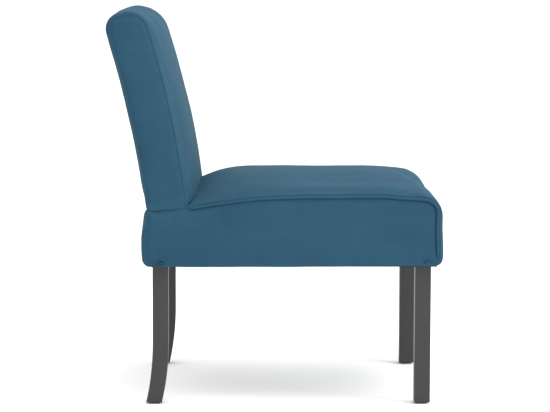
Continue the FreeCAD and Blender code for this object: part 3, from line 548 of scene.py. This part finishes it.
# Closes one side: flat rings inside the outermost outline, and a grid inside the last of them.
def addSidePanel(verts, faces, x, outline, numbers, spec):
    for distance in spec["panelRings"]:
        ring = ringInwards(outline, distance)
        inside = [len(verts) + j for j in range(len(ring))]
        verts += [(x, y, z) for y, z in ring]
        faces += ringFaces(numbers, inside)
        numbers = inside
    corner = int(np.argmin(np.linalg.norm(ring - np.array(spec["corner"]), axis=1)))
    grid, index = fillRing(ring, corner, spec["short"])
    rows, columns = index.shape
    for a in range(rows):
        for b in range(columns):
            if index[a, b] >= 0:
                index[a, b] = numbers[index[a, b]]
            else:
                index[a, b] = len(verts)
                verts.append((x, *grid[a, b]))
    for a in range(rows - 1):
        for b in range(columns - 1):
            faces.append((index[a, b], index[a + 1, b], index[a + 1, b + 1], index[a, b + 1]))


# Moves points near chosen places of the side view: (place, reach, move). The long edges of the
# seat's top are lifted as well.
def pushed(points, spec):
    start = np.array([tuple(point) for point in points])
    co = start.copy()
    for spot, reach, move in spec["pushes"]:
        away = np.linalg.norm(start[:, 1:] - np.array(spot), axis=1) / reach
        co[:, 1:] += np.exp(-away ** 2)[:, None] * np.array(move)
    if "edgeLift" in spec:
        lift = np.interp(start[:, 1], *zip(*spec["edgeLift"]))
        lift = lift * eased(np.abs(start[:, 0]), *spec["liftFrom"])
        co[:, 2] += lift * eased(start[:, 2], *spec["liftAbove"])
    return co


# How far round the edge the side seams run at one y: 0 at the outline, a quarter turn on the side.
def seamTurn(spec, y):
    inset = float(np.interp(y, *zip(*spec["seamInset"])))
    return math.acos(1 - inset / spec["edgeRadius"])


# The course of one side seam, from the rear over the top to the front.
def seamLine(spec, trace, angles, run, side):
    line = []
    for angle, (y, z) in zip(angles, trace(side * run, angles)):
        x = side * (run + spec["edgeRadius"] * math.sin(seamTurn(spec, y)))
        line.append((x, *trace(x, [angle])[0]))
    return [Vector(point) for point in pushed(line, spec) if point[2] > spec["seamFrom"]]


# A closed cushion: outlines across the width, rounded edges, and a flat grid for each side.
def tracedCushion(name, spec):
    boxes = [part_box(node) for node in spec["covers"]]
    low = Vector([min(box[0][axis] for box in boxes) for axis in range(3)])
    high = Vector([max(box[1][axis] for box in boxes) for axis in range(3)])
    run = high.x - spec["edgeRadius"]
    trace = outlineTracer(spec, low, high)
    angles = evenAngles(trace, run * tracing["evenAt"], spec)
    stations = stationsOf(spec, run)
    outlines = [trace(x, angles) for x in stations]
    verts = []
    numbers = []
    for x, outline in zip(stations, outlines):
        numbers.append([len(verts) + j for j in range(len(outline))])
        verts += [(x, y, z) for y, z in outline]
    faces = []
    for first, second in zip(numbers, numbers[1:]):
        faces += ringFaces(first, second)
    for side, end in ((-1, 0), (1, -1)):
        addSidePanel(verts, faces, side * high.x, outlines[end], numbers[end], spec)
    piece = linkMesh(name, pushed(verts, spec), faces)
    return piece, {side: seamLine(spec, trace, angles, run, side) for side in (-1, 1)}


def treeOfPoints(lines, step=0.0015):
    points = []
    for line in lines:
        for start, end in zip(line, line[1:]):
            parts = max(1, int((end - start).length / step))
            points += [start.lerp(end, k / parts) for k in range(parts)]
    tree = KDTree(len(points))
    for number, point in enumerate(points):
        tree.insert(point, number)
    tree.balance()
    return tree


# Lets the filling press the cover out between its seams.

filling = {
    "quality": 5,
    "coverMass": 0.3,
    "tension": 12.0,
    "shear": 4.0,
    "bending": 0.6,
    "pressure": 2.2,
    "shrink": -0.004,                    # the cover is cut this much larger
    "frames": 16,
    "heldReach": 0.004,                  # from a seam
}
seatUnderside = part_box("seat_cover_top")[0].z


def heldPoints(piece, seamTree, spec):
    held = []
    for number, point in enumerate(coordsOf(piece)):
        nearSeam = seamTree.find(point)[2] < filling["heldReach"]
        if nearSeam or point[2] < seatUnderside + spec["heldBelow"]:
            held.append(number)
    return held


def setCloth(cloth):
    settings = cloth.settings
    settings.quality = filling["quality"]
    settings.mass = filling["coverMass"]
    settings.tension_stiffness = filling["tension"]
    settings.compression_stiffness = filling["tension"]
    settings.shear_stiffness = filling["shear"]
    settings.bending_stiffness = filling["bending"]
    settings.use_pressure = True
    settings.uniform_pressure_force = filling["pressure"]
    settings.shrink_min = filling["shrink"]
    settings.vertex_group_mass = "held"
    settings.effector_weights.gravity = 0.0
    cloth.collision_settings.use_collision = False
    cloth.collision_settings.use_self_collision = False
    cloth.point_cache.frame_start = 1
    cloth.point_cache.frame_end = filling["frames"]


def plump(piece, seamTree, spec):
    begun = time.time()
    start = coordsOf(piece)
    group = piece.vertex_groups.new(name="held")
    group.add(heldPoints(piece, seamTree, spec), 1.0, "REPLACE")
    cover = piece.modifiers.new("cover", "CLOTH")
    setCloth(cover)
    for number in range(1, filling["frames"] + 1):
        bpy.context.scene.frame_set(number)
    shaped = piece.evaluated_get(bpy.context.evaluated_depsgraph_get())
    moves = rowsOf(shaped.data.vertices, "co") - start
    length = np.linalg.norm(moves, axis=1)
    print(piece.name, "pressed out by up to", round(float(length.max()) * 1000, 1), "mm, mean",
          round(float(length.mean()) * 1000, 2))
    limit = spec["fullness"]
    tiny = 1e-9
    scale = np.where(length > tiny, limit * np.tanh(length / limit) / np.maximum(length, tiny), 0.0)
    piece.modifiers.remove(cover)
    piece.vertex_groups.remove(group)
    bpy.context.scene.frame_set(1)
    setCoords(piece, start + moves * scale[:, None])
    print(piece.name, "took", round(time.time() - begun), "s to press out")


noiseShift = (3.17, 1.31, 2.23)          # times its seed, it takes each noise from a place of its own


def noiseField(co, size, seed):
    shift = Vector([seed * value for value in noiseShift])
    return np.array([noise.fractal(Vector(point) / size + shift, 1.0, 2.0, 2) for point in co])


# Slow hollows and swellings of the filling under the cover.
def restless(piece, spec):
    co = coordsOf(piece)
    normals = normalsOf(piece)
    slow = noiseField(co, spec["slowSize"], 5) * spec["slowDepth"]
    quick = noiseField(co, spec["quickSize"], 9) * spec["quickDepth"]
    setCoords(piece, co + normals * (slow + quick)[:, None])


# Sewn seams: a narrow groove in a wider dip, with small gathers that run away from it.
def sewSeams(piece, seamTree, spec):
    co = coordsOf(piece)
    normals = normalsOf(piece)
    away = np.array([seamTree.find(point)[2] for point in co])
    groove = spec["grooveDepth"] * np.exp(-(away / spec["grooveWidth"]) ** 2)
    dip = spec["dipDepth"] * np.exp(-(away / spec["dipWidth"]) ** 2)
    close = away < spec["gatherReach"] * 3
    gathers = np.zeros(len(co))
    gathers[close] = noiseField(co[close], spec["gatherSize"], 2)
    gathers *= spec["gatherDepth"] * np.exp(-away / spec["gatherReach"])
    setCoords(piece, co - normals * (groove + dip - gathers)[:, None])


def upholster(name, spec):
    piece, seams = tracedCushion(name, spec)
    seamTree = treeOfPoints(seams.values())
    plump(piece, seamTree, spec)
    applyModifier(piece, "SUBSURF", levels=1, render_levels=1)
    restless(piece, spec["restless"])
    sewSeams(piece, seamTree, spec["seam"])
    piece.data.materials.append(velvetFinish)
    place(piece, "velvet", *spec["covers"], *spec["fillings"])
    print(name, "upholstered,", len(piece.data.polygons), "faces")
    return seams


seatSeams = upholster("seatCushion", seat)
upholster("backCushion", back)


# Piping: a covered cord along the side seams of the seat, from the back over the top to the hem.

piping = {
    "radius": 0.0026,
    "tuckedLength": 0.010,               # its ends sink into the seat over this length
    "tuckedDepth": 0.0062,
    "standsOut": 0.0005,                 # its middle, from the line of the seam
    "around": 12,
    "step": 0.0025,
    "smoothTurns": 3,
    "gatherDepth": 0.0003,               # of its bias-cut cover
    "gatherSize": 0.006,
    "gatherSpread": 0.002,               # how much they differ round the cord
}


# Follows the seam as far as the frame's own piping goes.
def pipingPath(node, side):
    tree = coverTree([node])
    line = seatSeams[side]
    path = []
    for k, point in enumerate(line):
        if tree.find_nearest(point)[3] > piping["radius"] * 3:
            continue
        ahead = line[min(k + 1, len(line) - 1)] - line[max(k - 1, 0)]
        outward = Vector((0.0, ahead.z, -ahead.y)).normalized()
        turn = seamTurn(seat, point.y)
        outward = outward * math.cos(turn) + Vector((side * math.sin(turn), 0.0, 0.0))
        path.append(point + outward * piping["standsOut"])
    return path


def evenPath(path, step):
    lengths = [0.0]
    for a, b in zip(path, path[1:]):
        lengths.append(lengths[-1] + (b - a).length)
    count = int(lengths[-1] / step)
    wanted = np.linspace(0.0, lengths[-1], count + 1)
    co = np.array([tuple(point) for point in path])
    return np.stack([np.interp(wanted, lengths, co[:, axis]) for axis in range(3)], axis=1)


def smoothPath(points, times):
    for turn in range(times):
        points[1:-1] = (points[:-2] + 2 * points[1:-1] + points[2:]) / 4
    return points


# The ends run in under the cover.
def tuckEnds(points, side):
    along = np.arange(len(points)) * piping["step"]
    fromEnd = np.minimum(along, along[-1] - along)
    tucked = side * piping["tuckedDepth"] * (1 - eased(fromEnd, 0.0, piping["tuckedLength"]))
    points[:, 0] -= tucked
    return points


def weltTube(name, points):
    verts = []
    faces = []
    around = piping["around"]
    for k, point in enumerate(points):
        ahead = points[min(k + 1, len(points) - 1)] - points[max(k - 1, 0)]
        ahead /= np.linalg.norm(ahead)
        across = np.array([1.0, 0.0, 0.0])
        up = np.cross(ahead, across)
        for j in range(around):
            angle = 2 * math.pi * j / around
            out = math.cos(angle) * across + math.sin(angle) * up
            spot = Vector(point + out * piping["gatherSpread"])
            gather = piping["gatherDepth"] * noise.noise(spot / piping["gatherSize"])
            verts.append(point + out * (piping["radius"] + gather))
    rings = [range(k * around, (k + 1) * around) for k in range(len(points))]
    for first, second in zip(rings, rings[1:]):
        faces += ringFaces(first, second)
    faces += [tuple(rings[0]), tuple(rings[-1])]
    return linkMesh(name, verts, faces)


for sideName, side in sideNames.items():
    node = "seat_piping_" + sideName.lower()
    course = smoothPath(evenPath(pipingPath(node, side), piping["step"]), piping["smoothTurns"])
    welt = weltTube("seatPiping" + sideName, tuckEnds(course, side))
    welt.data.materials.append(velvetFinish)
    place(welt, "velvet", node)
    print(welt.name, "runs", round(len(course) * piping["step"] * 1000), "mm")


# Dust cloth under the seat, cut out round the legs and stapled to the rails.

dustCloth = {
    "step": 0.008,
    "thickness": 0.0005,
    "sag": 0.0022,
    "legGap": 0.0006,
    "wrinkleDepth": 0.0006,
    "wrinkleSize": 0.07,
    "wrinklesFrom": 4.0,                 # they deepen this many times as fast as the sag, from the rails
}


def legHoles():
    holes = []
    gap = dustCloth["legGap"]
    for node in ("front_right_leg", "front_left_leg", "rear_right_leg", "rear_left_leg"):
        low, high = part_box(node)
        section = high.x - low.x
        holes.append((low.x - gap, high.x + gap, low.y - gap, low.y + section + gap))
    return holes


# Even lines from low to high, with the nearest ones moved onto the cuts.
def gridLines(low, high, step, cuts):
    count = max(2, int((high - low) / step))
    lines = [low + (high - low) * k / count for k in range(count + 1)]
    for value in cuts:
        if low < value < high:
            nearest = min(range(1, count), key=lambda k: abs(lines[k] - value))
            lines[nearest] = value
    return lines


def hangsDown(x, y, low, high):
    spec = dustCloth
    across = math.sin(math.pi * (x - low.x) / (high.x - low.x))
    along = math.sin(math.pi * (y - low.y) / (high.y - low.y))
    soft = min(1.0, spec["wrinklesFrom"] * across * along)
    wrinkle = noise.fractal(Vector((x, y, 0)) / spec["wrinkleSize"], 1.0, 2.0, 3)
    return max(0.0, spec["sag"] * across * along + spec["wrinkleDepth"] * soft * wrinkle)


def sewDustCloth():
    thickness = dustCloth["thickness"]
    low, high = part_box("dust_cover")
    holes = legHoles()
    xs = gridLines(low.x, high.x, dustCloth["step"], [value for hole in holes for value in hole[:2]])
    ys = gridLines(low.y, high.y, dustCloth["step"], [value for hole in holes for value in hole[2:]])
    verts = [(x, y, high.z - thickness - hangsDown(x, y, low, high)) for x in xs for y in ys]
    faces = []
    for a in range(len(xs) - 1):
        for b in range(len(ys) - 1):
            x = (xs[a] + xs[a + 1]) / 2
            y = (ys[b] + ys[b + 1]) / 2
            if any(h[0] < x < h[1] and h[2] < y < h[3] for h in holes):
                continue
            first = a * len(ys) + b
            faces.append((first, first + len(ys), first + len(ys) + 1, first + 1))
    piece = linkMesh("dustCloth", verts, faces)
    editMesh(piece, dropLoosePoints)
    applyModifier(piece, "SOLIDIFY", thickness=thickness, offset=0.0)
    piece.data.materials.append(finishes["dust_cloth"])
    place(piece, "dust_cloth", "dust_cover")


sewDustCloth()


# Studio: a pale floor, soft light from above and in front, and the camera

studio = {
    "floorSize": 200.0,
    "floorColour": (0.96, 0.96, 0.96),
    "floorClouds": (3.0, 3.0, 0.5),
    "floorEdges": (0.3, 0.7),
    "floorDim": 0.985,                   # of the colour, in its clouds
    "floorRoughness": 0.9,
    "skyColour": (1.0, 1.0, 1.0),
    "skyStrength": 1.38,
    "lights": [
        # name, place, size, power, colour
        ("topBox", (-0.8, -0.6, 3.0), 2.2, 56.0, (1.0, 0.975, 0.925)),
        ("frontBox", (-1.2, -3.0, 1.5), 1.8, 51.0, (0.95, 0.99, 1.0)),
    ],
    "aim": (0.0, 0.0, 0.4),
    "cameraPlace": (-4.616, 0.05375, 0.868),
    "cameraYaw": -0.694,                 # degrees
    "cameraPitch": -6.211,
    "cameraRoll": -0.138,
    "lens": 148.24,                      # millimetres, as is the sensor
    "sensor": 36.0,
    "farthest": 60.0,
}


def studioFloor():
    bpy.ops.mesh.primitive_plane_add(size=studio["floorSize"], location=(0.0, 0.0, 0.0))
    floor = bpy.context.active_object
    floor.name = "studioFloor"
    material, tree, shader, place3 = nodeMaterial("paleFloor")
    clouds = grainNode(tree, place3, *studio["floorClouds"])
    pale = studio["floorColour"]
    dim = tuple(value * studio["floorDim"] for value in pale)
    clouded = toneNode(tree, clouds, studio["floorEdges"], dim, pale)
    tree.links.new(clouded, shader.inputs["Base Color"])
    shader.inputs["Roughness"].default_value = studio["floorRoughness"]
    floor.data.materials.append(material)


def studioLights():
    world = bpy.data.worlds.new("studioSky")
    bpy.context.scene.world = world
    world.use_nodes = True
    sky = world.node_tree.nodes["Background"]
    sky.inputs["Color"].default_value = (*studio["skyColour"], 1.0)
    sky.inputs["Strength"].default_value = studio["skyStrength"]
    for name, spot, size, power, colour in studio["lights"]:
        data = bpy.data.lights.new(name, "AREA")
        data.size = size
        data.energy = power
        data.color = colour
        lamp = bpy.data.objects.new(name, data)
        bpy.context.scene.collection.objects.link(lamp)
        lamp.location = spot
        towards = Vector(studio["aim"]) - Vector(spot)
        lamp.rotation_euler = towards.to_track_quat("-Z", "Y").to_euler()


# The camera looks along +X, then turns by its yaw, pitch and roll.
def studioCamera():
    data = bpy.data.cameras.new("photoCamera")
    data.lens = studio["lens"]
    data.sensor_width = studio["sensor"]
    data.clip_end = studio["farthest"]
    camera = bpy.data.objects.new("photoCamera", data)
    bpy.context.scene.collection.objects.link(camera)
    forward = Vector((1.0, 0.0, 0.0))
    up = Vector((0.0, 0.0, 1.0))
    forward.rotate(Matrix.Rotation(math.radians(studio["cameraYaw"]), 3, "Z"))
    right = forward.cross(up).normalized()
    forward.rotate(Matrix.Rotation(math.radians(studio["cameraPitch"]), 3, right))
    up = right.cross(forward)
    roll = Matrix.Rotation(math.radians(studio["cameraRoll"]), 3, forward)
    right.rotate(roll)
    up.rotate(roll)
    pose = Matrix((right, up, -forward)).transposed().to_4x4()
    pose.translation = Vector(studio["cameraPlace"])
    camera.matrix_world = pose
    bpy.context.scene.camera = camera


studioFloor()
studioLights()
studioCamera()
bpy.context.scene.view_settings.view_transform = "Standard"
print("studio ready")
